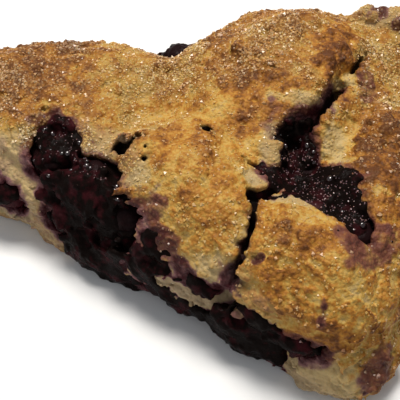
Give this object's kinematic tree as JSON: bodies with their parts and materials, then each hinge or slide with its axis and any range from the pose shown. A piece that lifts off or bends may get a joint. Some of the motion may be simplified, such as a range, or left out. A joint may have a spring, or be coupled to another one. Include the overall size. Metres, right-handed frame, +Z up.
{
  "type": "blueberry scone",
  "caption": "Wedge-shaped baked scone with a craggy sugared top, deep cracks and burst blueberries in its cut sides.",
  "frame": {"origin": "on the flat base, midway along the wedge's length", "axes": "-X towards the wedge's tip, +X towards its browned outer edge, -Y towards the cut side with the large berry bay, +Z up"},
  "size_m": [0.1217, 0.095, 0.0365],
  "materials": {
    "crumb": "baked dough: golden brown, sugared crust on top, paler at the cracks and cut sides",
    "berry": "baked blueberry: nearly black purple, moist and glossy, with wrinkled skin"
  },
  "bodies": {
    "root": {"dough": "crumb", "berry_bay_top": "berry", "berry_bay_middle": "berry", "berry_bay_right": "berry", "berry_bay_burst": "berry", "berry_tip": "berry", "berry_foot_left": "berry", "berry_foot_middle": "berry", "berry_side_middle": "berry", "berry_crack_back": "berry", "berry_crack_middle": "berry", "berry_crack_front": "berry", "berry_crack_skin": "berry", "berry_crack_left": "berry", "berry_side_front": "berry", "berry_side_corner": "berry", "berry_back_rim": "berry", "berry_back_tip": "berry", "berry_back_side": "berry", "berry_edge_back": "berry"}
  },
  "joints": []
}
